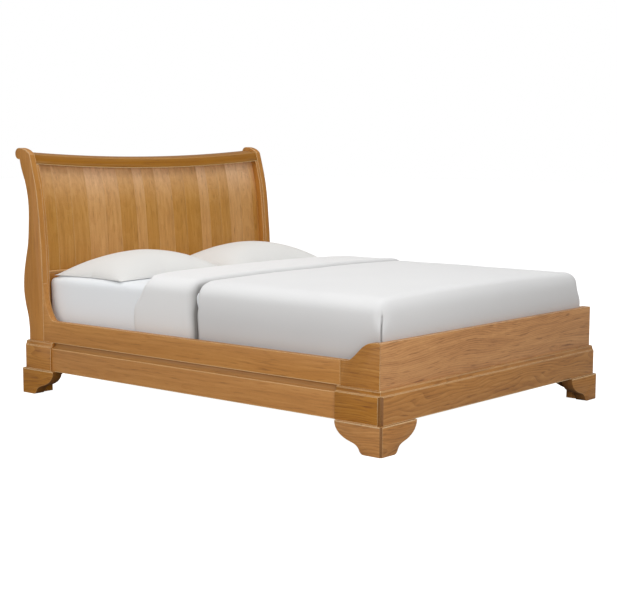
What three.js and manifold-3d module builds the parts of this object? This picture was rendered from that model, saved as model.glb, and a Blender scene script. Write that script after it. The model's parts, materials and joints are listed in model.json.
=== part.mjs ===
// Sleigh bed in solid oak: a scrolled headboard, a low ogee footboard, moulded plinths and
// bracket feet, with a slatted base, a mattress and made-up white bedding.
// Millimetres, +Z up. The origin is on the floor at the middle of the outline, +Y points at
// the headboard and +X at the right-hand side seen from the foot.
import * as THREE from "three";
import { mergeVertices } from "three/addons/utils/BufferGeometryUtils.js";
import Module from "manifold-3d";

const wasm = await Module();
wasm.setup();

// Driving sizes
const fitGap = 0.3; // between pieces that touch
const mattress = { width: 1500, length: 2000, height: 250, corner: 35 };
const well = { side: 24, foot: 16.5, headLap: 29 }; // headLap: the mattress runs past the post fronts
const foot = { height: 119.5, step: 8.3, arm: 233, past: 0.7, cant: 8, block: 48, blockLift: 6 };
const plinth = { height: 135.2, moulding: 25.5, step: 21, cant: 16, frontBlock: 228.5, rearBlock: 200 };
const rail = { thick: 32, height: 101.5, rebate: 1 }; // rebate: the rails start this far below the plinth top
const lowerRail = { face: 15, cove: 10, coveHeight: 25 };
const footboard = { thick: 25, rise: 81, returnLength: 196.5, ogeeStart: 173.5, ogeeEnd: 32 };
const post = { thick: 32, height: 1167.4, depth: 104.8, earRadius: 27.3, earDepth: 158.5, crown: 34 };
const stile = { width: 15, setback: 3, depth: 62, steps: 28 };
const panel = { thick: 20, setback: 37, boards: 24, tongue: 8, steps: 22 };
const groove = { depth: 9, play: 0.5 };
const topRail = {
  drop: 18.4, dip: 28, height: 57, setback: 3, roll: 18, rollDepth: 156, thick: 63, nose: 14, crown: 26,
};
const roundOver = { lean: 4, lift: 10 }; // how the scrolls start to turn over at the front
const bottomRail = { front: 35, thick: 34, overMattress: 22.4, bead: 4, beadHeight: 11 };
const crossRail = { front: 37, thick: 28, height: 94, gap: 4 };
const swoop = { rise: 175.5, tip: 2.2, run: 83 };
const ledger = { width: 30, height: 30, lift: 8, bracketGap: 6 };
const slat = { count: 12, width: 75, thick: 20, play: 2 };
const centreRail = { width: 44 };
const centreLeg = { radius: 22, sides: 24 };
const bracket = { thick: 3, leg: 68, lift: 12, height: 58 };
const duvet = {
  skirt: 15, footSkirt: 12, thick: 37, lap: 23.5, fold: 987, turnback: 411, puff: 5, ease: 1, corner: 0.5,
};
const pillow = { width: 730, depth: 487, height: 104, split: 30, headGap: 22, lift: 1 };

// Places worked out from the sizes
const railFace = mattress.width / 2 + well.side + rail.thick; // outer face of the rails and posts
const railInner = railFace - rail.thick;
const stileInner = railFace - post.thick - stile.width;
const plinthFace = railFace + plinth.step;
const footFace = plinthFace + foot.step;
const footThick = foot.step + plinth.step + footboard.thick + foot.past;
const plinthBottom = foot.height + fitGap;
const plinthTop = plinthBottom + plinth.height;
const railBottom = plinthTop - rail.rebate;
const railTop = railBottom + rail.height;
const footboardTop = railTop + footboard.rise;
const swoopTop = railTop + swoop.rise;
const crossBottom = railBottom + crossRail.gap;
const crossTop = crossBottom + crossRail.height;
const earReach = post.earDepth + post.earRadius;
const footReach =
  mattress.length + well.foot + footboard.thick + plinth.step + foot.step - well.headLap;
const headY = (footReach - earReach) / 2; // front line of the posts
const mattressHead = headY + well.headLap;
const mattressFoot = mattressHead - mattress.length;
const footboardInner = mattressFoot - well.foot;
const footboardOuter = footboardInner - footboard.thick;
const returnJoint = footboardOuter + footboard.returnLength;
const frontPlinthY = footboardOuter - plinth.step;
const frontBlockEnd = frontPlinthY + plinth.frontBlock;
const rearPlinthY = headY + post.depth + plinth.step;
const rearBlockEnd = rearPlinthY - plinth.rearBlock;
const ledgerBottom = railBottom + ledger.lift;
const ledgerTop = ledgerBottom + ledger.height;
const slatTop = ledgerTop + fitGap + slat.thick;
const mattressBottom = slatTop + fitGap;
const mattressTop = mattressBottom + mattress.height;
const bottomRailTop = mattressTop + bottomRail.overMattress;
const bracketBottom = railBottom + bracket.lift;
const bracketTop = bracketBottom + bracket.height;

// Finishes
const finish = (color, roughness, metalness = 0) =>
  new THREE.MeshStandardMaterial({ color, roughness, metalness });
const oak = finish(0xac7c46, 0.45);
const panelOak = finish(0xb98b52, 0.45);
const pine = finish(0xd9bd8c, 0.7);
const steel = finish(0x9a9b9d, 0.4, 1);
const cotton = finish(0xf0efed, 0.9);
const ticking = finish(0xe6e5e1, 0.9);

// The outline of a closed prism, given across an axis and run along it.
// Points are (y, z) along x, (x, z) along y and (x, y) along z.
const turns = {
  x: new THREE.Matrix4().set(0, 0, 1, 0, 1, 0, 0, 0, 0, 1, 0, 0, 0, 0, 0, 1),
  y: new THREE.Matrix4().set(1, 0, 0, 0, 0, 0, -1, 0, 0, 1, 0, 0, 0, 0, 0, 1),
  z: new THREE.Matrix4(),
};

function prism(outline, axis, from, to, curveSegments = 12) {
  const points = (list) => list.map(([a, b]) => new THREE.Vector2(a, b));
  const shape = outline instanceof THREE.Shape ? outline : new THREE.Shape(points(outline));
  const geometry = new THREE.ExtrudeGeometry(shape, {
    depth: to - from,
    bevelEnabled: false,
    curveSegments,
  });
  const start = axis === "y" ? -to : from;
  return geometry.translate(0, 0, start).applyMatrix4(turns[axis]);
}

function box(low, high) {
  const size = high.map((h, i) => h - low[i]);
  const centre = high.map((h, i) => (h + low[i]) / 2);
  return new THREE.BoxGeometry(...size).translate(...centre);
}

// A plan rectangle with round corners, run up from one height to another.
function roundedBox(low, high, radius) {
  const [x0, y0, z0] = low;
  const [x1, y1, z1] = high;
  const shape = new THREE.Shape();
  shape.absarc(x1 - radius, y1 - radius, radius, 0, Math.PI / 2);
  shape.absarc(x0 + radius, y1 - radius, radius, Math.PI / 2, Math.PI);
  shape.absarc(x0 + radius, y0 + radius, radius, Math.PI, 1.5 * Math.PI);
  shape.absarc(x1 - radius, y0 + radius, radius, 1.5 * Math.PI, 2 * Math.PI);
  return prism(shape, "z", z0, z1, 6);
}

function solidOf(geometry) {
  const bare = geometry.clone();
  bare.deleteAttribute("normal");
  bare.deleteAttribute("uv");
  const merged = mergeVertices(bare, 1e-4);
  return new wasm.Manifold(
    new wasm.Mesh({
      numProp: 3,
      vertProperties: new Float32Array(merged.attributes.position.array),
      triVerts: new Uint32Array(merged.index.array),
    }),
  );
}

function geometryOf(solid) {
  const made = solid.getMesh();
  const geometry = new THREE.BufferGeometry();
  geometry.setAttribute("position", new THREE.BufferAttribute(new Float32Array(made.vertProperties), 3));
  geometry.setIndex(new THREE.BufferAttribute(new Uint32Array(made.triVerts), 1));
  const flat = geometry.toNonIndexed();
  flat.computeVertexNormals();
  return flat;
}

const common = (a, b) => geometryOf(solidOf(a).intersect(solidOf(b)));
const cut = (a, b) => geometryOf(solidOf(a).subtract(solidOf(b)));

// A closed skin over rings of equal length, one ring at each station along x.
function loft(stations) {
  const rings = stations.map(({ ring }) => ring);
  const count = rings[0].length;
  const positions = stations.flatMap(({ x, ring }) => ring.flatMap(([y, z]) => [x, y, z]));
  const index = [];
  for (let s = 0; s < stations.length - 1; s++) {
    for (let i = 0; i < count; i++) {
      const a = s * count + i;
      const b = s * count + ((i + 1) % count);
      index.push(a, b, a + count, b, b + count, a + count);
    }
  }
  const capOf = (ring) =>
    THREE.ShapeUtils.triangulateShape(ring.map(([y, z]) => new THREE.Vector2(y, z)), []);
  const last = (stations.length - 1) * count;
  for (const [a, b, c] of capOf(rings[0])) index.push(a, c, b);
  for (const [a, b, c] of capOf(rings[rings.length - 1])) index.push(last + a, last + b, last + c);
  const geometry = new THREE.BufferGeometry();
  geometry.setAttribute("position", new THREE.Float32BufferAttribute(positions, 3));
  geometry.setIndex(index);
  return geometry.toNonIndexed();
}

const bed = new THREE.Group();

function add(name, geometry, material, group = bed) {
  const mesh = new THREE.Mesh(geometry, material);
  mesh.name = name;
  group.add(mesh);
  return mesh;
}

// The left piece is drawn; the right one is its mirror image.
function addPair(name, geometry, material) {
  add(`${name}_left`, geometry, material);
  add(`${name}_right`, geometry, material).scale.x = -1;
}

// Headboard curve: depth behind the front line of the posts against height.
// Heights are shares of the rise from the plinth to the middle of the scroll.
const earZ = post.height - post.earRadius;
const rise = (share) => plinthTop + share * (earZ - plinthTop);
const splineOf = (points) =>
  new THREE.SplineCurve(points.map(([depth, share]) => new THREE.Vector2(depth, rise(share))));
const frontCurve = splineOf([
  [0, 0], [0, 0.22], [2, 0.33], [6, 0.479], [13.7, 0.587], [22, 0.696], [37, 0.815], [64.5, 0.938], [79, 0.994],
]);
const backCurve = splineOf([
  [post.depth, 0], [post.depth + 0.5, 0.065], [113.9, 0.132], [130, 0.192], [141.5, 0.27],
  [137, 0.359], [121, 0.444], [103.5, 0.529], [94.7, 0.66], [97, 0.752], [113.9, 0.84],
  [140, 0.915], [151, 0.955],
]);

function depthOn(curve, z) {
  const points = curve.getPoints(160);
  const above = points.findIndex((p) => p.y >= z);
  if (above < 1) return (above === 0 ? points[0] : points[points.length - 1]).x;
  const [a, b] = [points[above - 1], points[above]];
  return a.x + ((b.x - a.x) * (z - a.y)) / (b.y - a.y);
}

const frontDepth = (z) => depthOn(frontCurve, z);

function postOutline() {
  const shape = new THREE.Shape();
  const front = frontCurve.getPoints(34);
  const back = backCurve.getPoints(40).reverse();
  const crown = front[front.length - 1];
  shape.moveTo(headY, plinthBottom);
  for (const p of front) shape.lineTo(headY + p.x, p.y);
  shape.bezierCurveTo(
    headY + crown.x + roundOver.lean, crown.y + roundOver.lift,
    headY + crown.x + post.crown, post.height,
    headY + post.earDepth, post.height,
  );
  shape.absarc(headY + post.earDepth, earZ, post.earRadius, Math.PI / 2, -0.56 * Math.PI, true);
  for (const p of back) shape.lineTo(headY + p.x, p.y);
  shape.lineTo(headY + post.depth, plinthBottom);
  return shape;
}

addPair("headboard_post", prism(postOutline(), "x", -railFace, -railFace + post.thick, 20), oak);

// The top rail dips in the middle, leans back with the posts and rolls over behind.
const topRailEnd = railFace - post.thick - fitGap;
const dipAt = (x) => topRail.dip * (1 - (x / topRailEnd) ** 2);
const railCrown = (x) => post.height - topRail.drop - dipAt(x);
const railFoot = (x) => railCrown(x) - topRail.height;

function topRailRing(x) {
  const top = railCrown(x);
  const low = railFoot(x);
  const nose = top - topRail.nose;
  const front = [0, 0.33, 0.67, 1].map((t) => low + t * (nose - low));
  const ring = front.map((z) => [frontDepth(z) + topRail.setback, z]);
  const [noseDepth] = ring[ring.length - 1];
  const crown = new THREE.CubicBezierCurve(
    new THREE.Vector2(noseDepth, nose),
    new THREE.Vector2(noseDepth + roundOver.lean, nose + roundOver.lift),
    new THREE.Vector2(noseDepth + topRail.crown, top),
    new THREE.Vector2(topRail.rollDepth, top),
  );
  for (const p of crown.getPoints(8).slice(1)) ring.push([p.x, p.y]);
  for (let turn = 75; turn >= -120; turn -= 15) {
    const a = THREE.MathUtils.degToRad(turn);
    ring.push([
      topRail.rollDepth + topRail.roll * Math.cos(a),
      top - topRail.roll + topRail.roll * Math.sin(a),
    ]);
  }
  const back = (z) => frontDepth(z) + topRail.setback + topRail.thick;
  const grooveTop = low + groove.depth;
  ring.push([back(grooveTop) + 6, grooveTop], [back(low), low]);
  const grooveFront = (z) => frontDepth(z) + panel.setback - groove.play;
  const grooveBack = (z) => frontDepth(z) + panel.setback + panel.thick + groove.play;
  ring.push([grooveBack(low), low], [grooveBack(grooveTop), grooveTop]);
  ring.push([grooveFront(grooveTop), grooveTop], [grooveFront(low), low]);
  return ring.map(([depth, z]) => [headY + depth, z]).reverse();
}

function stationsAcross(half, count, ringAt) {
  return Array.from({ length: count + 1 }, (_, i) => {
    const x = -half + (2 * half * i) / count;
    return { x, ring: ringAt(x) };
  });
}

add("headboard_top_rail", loft(stationsAcross(topRailEnd, 28, topRailRing)), oak);

const spread = (from, to, steps) =>
  Array.from({ length: steps + 1 }, (_, i) => from + ((to - from) * i) / steps);

// Curved stiles stand inside the posts and carry the edges of the panel.
function stileOutline() {
  const top = Math.min(railFoot(topRailEnd), railFoot(stileInner)) - fitGap;
  const heights = spread(plinthBottom, top, stile.steps);
  const front = heights.map((z) => [headY + frontDepth(z) + stile.setback, z]);
  const back = heights.map((z) => [headY + frontDepth(z) + stile.setback + stile.depth, z]);
  return [...front, ...back.reverse()];
}

const stileOuter = railFace - post.thick - fitGap;
addPair("headboard_stile", prism(stileOutline(), "x", -stileOuter, -stileInner), oak);

// Panel of edge-glued boards, bent to the same curve and housed in both rails.
const panelHalf = stileInner - fitGap;
const panelBottom = bottomRailTop - panel.tongue;

function panelRing(x) {
  const heights = spread(panelBottom, railFoot(x) + panel.tongue, panel.steps);
  const front = heights.map((z) => [headY + frontDepth(z) + panel.setback, z]);
  const back = heights.map((z) => [headY + frontDepth(z) + panel.setback + panel.thick, z]);
  return [...back, ...front.reverse()];
}

add("headboard_panel", loft(stationsAcross(panelHalf, panel.boards, panelRing)), panelOak);

// Bottom rail with a small bead along its top edge and a groove for the panel.
function bottomRailSection() {
  const { front, thick, bead, beadHeight } = bottomRail;
  const bottom = crossTop + crossRail.gap;
  const top = bottomRailTop;
  const inPanel = frontDepth(top) + panel.setback - groove.play;
  const outPanel = frontDepth(top) + panel.setback + panel.thick + groove.play;
  const back = Math.max(outPanel + crossRail.gap, front + thick);
  const section = [
    [front, bottom], [front, top - beadHeight], [front - 0.7 * bead, top - 0.82 * beadHeight],
    [front - bead, top - 0.45 * beadHeight], [front - 0.7 * bead, top - 0.14 * beadHeight],
    [front, top], [inPanel, top], [inPanel, top - groove.depth],
    [outPanel, top - groove.depth], [outPanel, top], [back, top], [back, bottom],
  ];
  return section.map(([depth, z]) => [headY + depth, z]);
}

add("headboard_bottom_rail", prism(bottomRailSection(), "x", -panelHalf, panelHalf), oak);
add(
  "head_cross_rail",
  box(
    [-panelHalf, headY + crossRail.front, crossBottom],
    [panelHalf, headY + crossRail.front + crossRail.thick, crossTop],
  ),
  oak,
);

// Side rail: a straight board whose head end swoops up to lie against the post.
function sideRailOutline() {
  const shape = new THREE.Shape();
  const end = headY - fitGap;
  const tip = end - swoop.tip;
  const back = (share) => end - share * swoop.run;
  const up = (share) => railTop + share * swoop.rise;
  shape.moveTo(returnJoint + fitGap, railBottom + fitGap);
  shape.lineTo(end, railBottom + fitGap);
  shape.lineTo(end, swoopTop);
  shape.lineTo(tip, swoopTop);
  shape.bezierCurveTo(tip - 4, up(0.65), back(0.28), up(0.23), back(0.72), up(0.038));
  shape.quadraticCurveTo(back(0.81), railTop, back(1), railTop);
  shape.lineTo(returnJoint + fitGap, railTop);
  return shape;
}

addPair("side_rail", prism(sideRailOutline(), "x", -railFace, -railInner, 14), oak);

// Lower rail: stands proud of the side rail and is hollowed to a cove below it.
function lowerRailSection() {
  const face = -railFace - lowerRail.face;
  const root = -railFace + lowerRail.cove;
  const coveBottom = railBottom - lowerRail.coveHeight;
  const cove = new THREE.CubicBezierCurve(
    new THREE.Vector2(face + 5, coveBottom + 1.5),
    new THREE.Vector2(face + 13, coveBottom + 3),
    new THREE.Vector2(root - 3, coveBottom + 9),
    new THREE.Vector2(root, railBottom),
  );
  return [
    [-railInner, plinthBottom],
    [face, plinthBottom],
    [face, coveBottom - 2],
    [face + 2, coveBottom],
    ...cove.getPoints(7).map((p) => [p.x, p.y]),
    [-railInner, railBottom],
  ];
}

addPair(
  "lower_rail",
  prism(lowerRailSection(), "y", frontBlockEnd + fitGap, rearBlockEnd - fitGap),
  oak,
);

// Footboard, and the returns that carry its ogee down to the side rails.
// They meet in a mitre at each corner.
const mitreInner = railFace - footboard.thick;
const footboardPlan = [
  [-railFace, footboardOuter], [railFace, footboardOuter],
  [mitreInner, footboardInner], [-mitreInner, footboardInner],
];
add("footboard", prism(footboardPlan, "z", plinthBottom, footboardTop), oak);

function returnOutline() {
  const shape = new THREE.Shape();
  const front = footboardOuter;
  const low = footboardOuter + footboard.ogeeStart;
  const high = footboardOuter + footboard.ogeeEnd;
  const along = (share) => low + share * (high - low);
  shape.moveTo(front, plinthBottom);
  shape.lineTo(frontBlockEnd, plinthBottom);
  shape.lineTo(frontBlockEnd, railBottom);
  shape.lineTo(returnJoint, railBottom);
  shape.lineTo(returnJoint, railTop);
  shape.lineTo(low, railTop);
  shape.bezierCurveTo(along(0.36), railTop + 1.5, along(0.52), footboardTop, high, footboardTop);
  shape.lineTo(front, footboardTop);
  return shape;
}

const mitreGap = 1.5 * fitGap; // measured along the rail, so the mitre faces stand fitGap apart
const returnPlan = [
  [-railFace, footboardOuter + mitreGap], [-mitreInner, footboardInner + mitreGap],
  [-railInner, footboardInner + mitreGap], [-railInner, frontBlockEnd], [-railFace, frontBlockEnd],
];
addPair(
  "footboard_return",
  common(
    prism(returnOutline(), "x", -railFace, -railInner, 16),
    prism(returnPlan, "z", 0, footboardTop + 1),
  ),
  oak,
);

// Plinth moulding: distance in from the plinth face against height. An ogee steps back from
// the face to the boards above.
function plinthSection(depth) {
  const { step, moulding } = plinth;
  const top = plinthTop;
  const face = top - moulding;
  return [
    [0, plinthBottom], [0, face], [0.05 * step, face + 2.2], [0.14 * step, face + 3.4],
    [0.38 * step, face + 5.5], [0.47 * step, face + 0.4 * moulding], [0.48 * step, top - 8],
    [0.55 * step, top - 3.4], [0.71 * step, top - 0.8], [step - fitGap, top],
    [depth, top], [depth, plinthBottom],
  ];
}

// Plan of a mitred leg along a corner: the corner is at the origin, the leg runs along +a, and
// b is measured in from the face. The corner itself is canted.
const mitredPlan = (length, depth, cant) => [
  [cant, 0], [length, 0], [length, depth], [depth + fitGap, depth], [cant / 2 + fitGap, cant / 2],
];

function mouldedBlock(cornerY, run, length) {
  const depth = plinth.step - fitGap;
  const section = plinthSection(depth).map(([inward, z]) => [-plinthFace + inward, z]);
  const plan = mitredPlan(length, depth, plinth.cant);
  const [from, to] = run > 0 ? [cornerY, cornerY + length] : [cornerY - length, cornerY];
  return common(
    prism(section, "y", from, to),
    prism(plan.map(([a, b]) => [-plinthFace + b, cornerY + run * a]), "z", 0, plinthTop + 1),
  );
}

function mouldedBoard(faceY, run) {
  const depth = plinth.step - fitGap;
  const section = plinthSection(depth).map(([inward, z]) => [faceY + run * inward, z]);
  const half = plinthFace;
  const { cant } = plinth;
  const plan = [
    [cant, 0], [2 * half - cant, 0], [2 * half - cant / 2 - fitGap, cant / 2],
    [2 * half - depth - fitGap, depth], [depth + fitGap, depth], [cant / 2 + fitGap, cant / 2],
  ];
  return common(
    prism(section, "x", -half, half),
    prism(plan.map(([a, b]) => [-half + a, faceY + run * b]), "z", 0, plinthTop + 1),
  );
}

add("footboard_plinth", mouldedBoard(frontPlinthY, 1), oak);
addPair("foot_plinth_block", mouldedBlock(frontPlinthY, 1, plinth.frontBlock), oak);
add("headboard_plinth", mouldedBoard(rearPlinthY, -1), oak);

// The rear block also fills the space under the swoop, in front of the post.
const rearFiller = box(
  [-railFace - 2 * fitGap, rearBlockEnd, plinthBottom],
  [-railInner, headY - fitGap, railBottom - fitGap],
);
addPair(
  "head_plinth_block",
  geometryOf(solidOf(mouldedBlock(rearPlinthY, -1, plinth.rearBlock)).add(solidOf(rearFiller))),
  oak,
);

// Bracket foot: two mitred arms cut to an ogee, with a glue block behind the corner.
function footOutline() {
  const { height, arm } = foot;
  const shape = new THREE.Shape();
  const put = (a, b) => [a * arm, b * height];
  shape.moveTo(0, 0);
  shape.lineTo(...put(0.378, 0));
  shape.quadraticCurveTo(...put(0.436, 0.017), ...put(0.466, 0.145));
  shape.bezierCurveTo(...put(0.489, 0.25), ...put(0.549, 0.326), ...put(0.644, 0.368));
  shape.bezierCurveTo(...put(0.841, 0.469), ...put(1, 0.67), ...put(1, 1));
  shape.lineTo(0, height);
  return shape;
}

const armPlan = mitredPlan(foot.arm, footThick, foot.cant);
const sideArm = common(
  prism(footOutline(), "x", 0, footThick, 8),
  prism(armPlan.map(([a, b]) => [b, a]), "z", -1, foot.height + 1),
);
const endArm = common(
  prism(footOutline(), "y", 0, footThick, 8),
  prism(armPlan, "z", -1, foot.height + 1),
);
const cornerInner = footThick + fitGap;
const cornerBlock = box(
  [cornerInner, cornerInner, foot.blockLift],
  [cornerInner + foot.block, cornerInner + foot.block, foot.height],
);

const ends = [["front", frontPlinthY - foot.step, 1], ["rear", rearPlinthY + foot.step, -1]];
for (const [end, y, away] of ends) {
  for (const [hand, across] of [["left", 1], ["right", -1]]) {
    const corner = new THREE.Group();
    corner.position.set(-across * footFace, y, 0);
    corner.scale.set(across, away, 1);
    add(`${end}_${hand}_foot_side`, sideArm, oak, corner);
    add(`${end}_${hand}_foot_end`, endArm, oak, corner);
    add(`${end}_${hand}_foot_block`, cornerBlock, pine, corner);
    bed.add(corner);
  }
}

// Slatted base: ledgers inside the rails, a centre rail on two legs, and the slats.
const ledgerFoot = footboardInner + bracket.leg + ledger.bracketGap;
const ledgerHead = headY - bracket.leg - ledger.bracketGap;
addPair(
  "slat_ledger",
  box(
    [-railInner + fitGap, ledgerFoot, ledgerBottom],
    [-railInner + fitGap + ledger.width, ledgerHead, ledgerTop],
  ),
  pine,
);
const baseHead = headY + crossRail.front - fitGap;
const baseFoot = footboardInner + fitGap;
add(
  "centre_rail",
  box([-centreRail.width / 2, baseFoot, ledgerBottom], [centreRail.width / 2, baseHead, ledgerTop]),
  pine,
);
for (const [name, share] of [["front", 1 / 3], ["rear", 2 / 3]]) {
  const height = ledgerBottom - fitGap;
  const leg = new THREE.CylinderGeometry(centreLeg.radius, centreLeg.radius, height, centreLeg.sides);
  const mesh = add(`centre_leg_${name}`, leg.rotateX(Math.PI / 2), pine);
  mesh.position.set(0, baseFoot + share * (baseHead - baseFoot), height / 2);
}
const slatHalf = railInner - slat.play;
const slatRun = ledgerHead - ledgerFoot - slat.width;
for (let i = 0; i < slat.count; i++) {
  const y = ledgerFoot + (slatRun * i) / (slat.count - 1);
  add(
    `slat_${String(i + 1).padStart(2, "0")}`,
    box([-slatHalf, y, ledgerTop + fitGap], [slatHalf, y + slat.width, slatTop]),
    pine,
  );
}

// Steel brackets join the rails to the footboard, and to the posts across the step there.
const { thick: plate, leg } = bracket;
const railSide = -railInner + fitGap;
const frontBracket = [
  [railSide, footboardInner + fitGap],
  [railSide + leg, footboardInner + fitGap],
  [railSide + leg, footboardInner + fitGap + plate],
  [railSide + plate, footboardInner + fitGap + plate],
  [railSide + plate, footboardInner + fitGap + leg],
  [railSide, footboardInner + fitGap + leg],
];
addPair("front_bed_bracket", prism(frontBracket, "z", bracketBottom, bracketTop), steel);
const stileSide = -stileInner + fitGap;
const stileFront = headY - fitGap;
const rearReach = headY + crossRail.front - 2;
const rearBracket = [
  [railSide, stileFront - leg],
  [railSide + plate, stileFront - leg],
  [railSide + plate, stileFront - plate],
  [stileSide + plate, stileFront - plate],
  [stileSide + plate, rearReach],
  [stileSide, rearReach],
  [stileSide, stileFront],
  [railSide, stileFront],
];
addPair("rear_bed_bracket", prism(rearBracket, "z", bracketBottom, bracketTop), steel);

// Mattress and bedding
const halfMattress = mattress.width / 2;
add(
  "mattress",
  roundedBox(
    [-halfMattress, mattressFoot, mattressBottom],
    [halfMattress, mattressHead, mattressTop],
    mattress.corner,
  ),
  ticking,
);

// The duvet hangs over both sides and the foot. It is one hollow cap over the mattress.
const duvetHalf = halfMattress + duvet.ease + duvet.skirt;
const duvetFoot = mattressFoot - duvet.ease - duvet.footSkirt;
const foldLine = mattressFoot + duvet.fold;
const duvetTop = mattressTop + duvet.ease + duvet.thick;
const duvetHem = railTop - duvet.lap;

function bedCap(footY, headEdge, top, closedFoot) {
  const outer = roundedBox([-duvetHalf, footY, duvetHem], [duvetHalf, headEdge, top], duvet.corner);
  const inside = halfMattress + duvet.ease;
  const past = 10; // the hollow runs out through the open faces
  const innerFoot = closedFoot ? mattressFoot - duvet.ease : footY - past;
  const hollow = box(
    [-inside, innerFoot, duvetHem - past],
    [inside, headEdge + past, mattressTop + duvet.ease],
  );
  return cut(outer, hollow);
}

add("duvet", bedCap(duvetFoot, foldLine, duvetTop, true), cotton);
add(
  "duvet_turnback",
  bedCap(foldLine + fitGap, foldLine + duvet.turnback, duvetTop + duvet.puff, false),
  cotton,
);

// Pillows: crowned cushions, drawn as flattened spheres with squared-off plans.
function pillowGeometry() {
  const geometry = new THREE.SphereGeometry(1, 28, 14);
  const points = geometry.getAttribute("position");
  const square = (v, power) => Math.sign(v) * Math.abs(v) ** power;
  for (let i = 0; i < points.count; i++) {
    const across = square(points.getX(i), 0.6) * (pillow.width / 2);
    const along = square(points.getZ(i), 0.6) * (pillow.depth / 2);
    const up = square(points.getY(i), 0.8) * (pillow.height / 2);
    points.setXYZ(i, across, -along, up);
  }
  return geometry;
}

for (const [hand, across] of [["left", -1], ["right", 1]]) {
  const mesh = add(`pillow_${hand}`, pillowGeometry(), cotton);
  mesh.position.set(
    (across * (pillow.width + pillow.split)) / 2,
    mattressHead - pillow.headGap - pillow.depth / 2,
    mattressTop + pillow.lift + pillow.height / 2,
  );
}

export default bed;
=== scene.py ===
import json
import math
import random

import bmesh
import bpy
import numpy as np
from mathutils import Matrix, Vector, noise


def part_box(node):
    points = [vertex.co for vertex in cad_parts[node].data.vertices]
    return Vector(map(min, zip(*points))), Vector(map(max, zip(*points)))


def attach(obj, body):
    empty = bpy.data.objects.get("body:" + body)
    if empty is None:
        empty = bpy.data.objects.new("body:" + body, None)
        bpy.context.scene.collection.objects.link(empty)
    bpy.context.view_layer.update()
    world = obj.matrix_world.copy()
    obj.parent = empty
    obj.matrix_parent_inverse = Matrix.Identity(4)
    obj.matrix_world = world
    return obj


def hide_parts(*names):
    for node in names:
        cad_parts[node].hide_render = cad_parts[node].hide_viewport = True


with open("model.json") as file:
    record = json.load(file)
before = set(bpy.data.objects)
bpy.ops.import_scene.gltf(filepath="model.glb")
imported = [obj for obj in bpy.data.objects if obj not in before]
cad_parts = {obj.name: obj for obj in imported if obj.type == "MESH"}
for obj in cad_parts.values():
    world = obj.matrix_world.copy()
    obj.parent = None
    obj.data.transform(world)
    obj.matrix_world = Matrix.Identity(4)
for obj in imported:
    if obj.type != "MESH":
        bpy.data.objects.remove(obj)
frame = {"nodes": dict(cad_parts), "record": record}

nodes = frame["nodes"]
scene = bpy.context.scene
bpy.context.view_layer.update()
mm = 0.001
hair = 1e-5  # places closer than this are the same place
speck = 1e-9  # keeps a division away from zero
white = (1, 1, 1, 1)


def tint(code):
    # a colour written as on a screen, turned into the linear values that shaders use
    parts = [int(code[i:i + 2], 16) / 255 for i in (1, 3, 5)]
    return tuple(p / 12.92 if p < 0.04045 else ((p + 0.055) / 1.055) ** 2.4 for p in parts) + (1.0,)


def smooth(t):
    t = np.clip(t, 0, 1)
    return t * t * (3 - 2 * t)


def newObject(name, mesh, body, replaced=()):
    obj = bpy.data.objects.new(name, mesh)
    scene.collection.objects.link(obj)
    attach(obj, body)
    if replaced:
        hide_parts(*replaced)
    return obj


def shadeSmooth(mesh):
    mesh.polygons.foreach_set("use_smooth", [True] * len(mesh.polygons))
    mesh.update()


# the camera stands beyond the foot end's left corner, at about the headboard's height
view = {
    "location": (-4.9886, -4.2849, 1.2079), "azimuth": -49.59, "elevation": 6.87, "roll": 0.0023,
    "lens": 81.38, "sensor": 36, "farClip": 60,
}
studio = {
    "floorColour": "#c9c8c6", "floorLift": 1.0, "floorRough": 0.95, "floorShine": 0.1, "floorReach": 30,
    "floorDrop": 0.0005, "ambient": 0.38,
}
softboxes = {
    "overheadSoftbox": {"place": (-0.2, -0.1, 4.3), "target": (0, 0, 0.4), "size": (4.6, 4.6), "power": 97},
    "sideSoftbox": {"place": (-4.4, 2.3, 1.8), "target": (-0.8, 0.6, 0.5), "size": (2.6, 2.0), "power": 29},
    "frontSoftbox": {"place": (-3.0, -4.0, 1.7), "target": (-0.4, 0, 0.6), "size": (2.6, 2.0), "power": 58},
}


def buildCamera():
    a, e = math.radians(view["azimuth"]), math.radians(view["elevation"])
    forward = Vector((-math.sin(a) * math.cos(e), math.cos(a) * math.cos(e), -math.sin(e)))
    right = forward.cross(Vector((0, 0, 1))).normalized()
    up = right.cross(forward)
    c, s = math.cos(view["roll"]), math.sin(view["roll"])
    right, up = c * right + s * up, -s * right + c * up
    data = bpy.data.cameras.new("studioCamera")
    data.lens, data.sensor_width, data.clip_end = view["lens"], view["sensor"], view["farClip"]
    camera = bpy.data.objects.new("studioCamera", data)
    scene.collection.objects.link(camera)
    camera.matrix_world = Matrix.Translation(view["location"]) @ Matrix(
        (right, up, -forward)).transposed().to_4x4()
    scene.camera = camera
    print("camera ready")


def areaLight(name, place, target, size, power):
    data = bpy.data.lights.new(name, "AREA")
    data.shape, data.size, data.size_y = "RECTANGLE", size[0], size[1]
    data.energy = power
    light = bpy.data.objects.new(name, data)
    scene.collection.objects.link(light)
    light.location = place
    light.rotation_euler = (Vector(target) - Vector(place)).to_track_quat("-Z", "Y").to_euler()


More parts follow.
